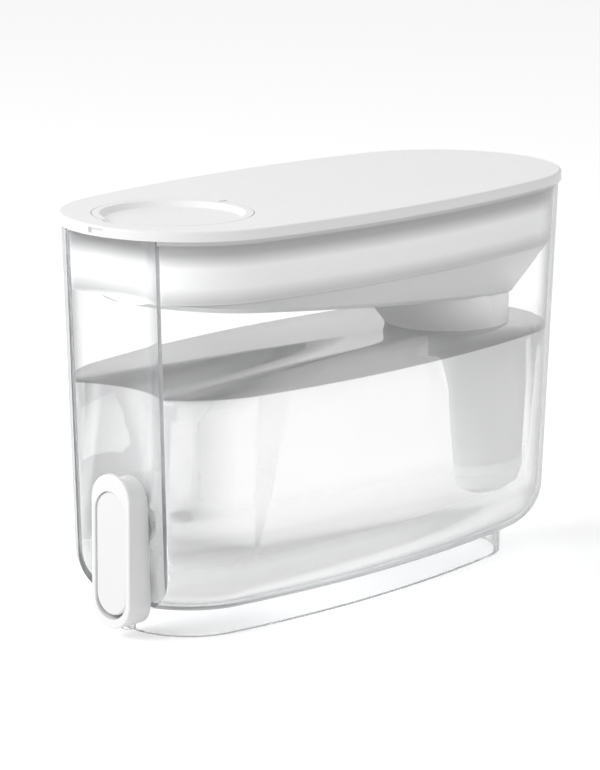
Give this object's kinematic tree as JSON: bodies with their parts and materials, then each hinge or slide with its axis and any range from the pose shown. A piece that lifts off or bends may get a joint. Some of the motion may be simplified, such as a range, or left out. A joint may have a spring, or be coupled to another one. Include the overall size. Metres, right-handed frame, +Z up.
{
  "type": "water filter dispenser",
  "caption": "Oval countertop water filter dispenser: clear tank, lift-out hopper and filter, lid with fill flap, push tap.",
  "frame": {"origin": "middle of the foot's underside, on the surface it stands on", "axes": "+Z up, long axis along Y with the tap at the -Y end, X across"},
  "size_m": [0.18, 0.4, 0.26],
  "materials": {
    "clear_plastic": "clear, polished",
    "frosted_plastic": "translucent white, satin",
    "white_plastic": "white, semi-gloss",
    "button_plastic": "white, satin",
    "grey_plastic": "satin",
    "seal_rubber": "matte",
    "steel": "satin",
    "fibre": "matte",
    "carbon": "matte, granular"
  },
  "bodies": {
    "tank": {"tank": "clear_plastic", "tap_housing": "white_plastic", "tap_bezel": "white_plastic", "button_pin": "steel", "stem_gland": "seal_rubber", "valve_spring": "steel", "valve_cage": "white_plastic", "outer_gasket": "seal_rubber", "inner_gasket": "seal_rubber", "tap_nut": "white_plastic", "spout": "clear_plastic"},
    "hopper": {"hopper": "frosted_plastic"},
    "lid": {"lid": "white_plastic", "flap_pin": "steel"},
    "flap": {"fill_flap": "white_plastic"},
    "filter": {"filter_housing": "frosted_plastic", "filter_end_cap": "white_plastic", "potting_disc": "grey_plastic", "fibre_bundle": "fibre", "carbon_housing": "white_plastic", "outlet_screen": "fibre", "carbon_media": "carbon", "inlet_screen": "fibre", "carbon_cap": "white_plastic", "socket_seal": "seal_rubber", "stage_seal": "seal_rubber"},
    "button": {"push_button": "button_plastic"},
    "valve": {"valve_stem": "grey_plastic", "valve_seal": "seal_rubber"}
  },
  "joints": [
    {"name": "hopper_lift", "type": "slide", "parent": "tank", "child": "hopper", "axis": [0, 0, 1], "range_m": [0, 0.06]},
    {"name": "lid_lift", "type": "slide", "parent": "hopper", "child": "lid", "axis": [0, 0, 1], "range_m": [0, 0.06]},
    {"name": "flap_hinge", "type": "hinge", "parent": "lid", "child": "flap", "pos_m": [0, -0.081, 0.2574], "axis": [-1, 0, 0], "range_deg": [0, 100]},
    {"name": "filter_lift", "type": "slide", "parent": "hopper", "child": "filter", "axis": [0, 0, 1], "range_m": [0, 0.035]},
    {"name": "button_press", "type": "hinge", "parent": "tank", "child": "button", "pos_m": [0, -0.18199, 0.088], "axis": [1, 0, 0], "range_deg": [0, 5.5], "stiffness_Nm_per_rad": 0.9, "springref_deg": -5.73},
    {"name": "valve_slide", "type": "slide", "parent": "tank", "child": "valve", "axis": [0, 1, 0], "range_m": [0, 0.00185], "deforming": ["valve_spring"]}
  ],
  "couplings": [
    {"joint": "valve_slide", "follows": "button_press", "m_per_rad": 0.019}
  ]
}
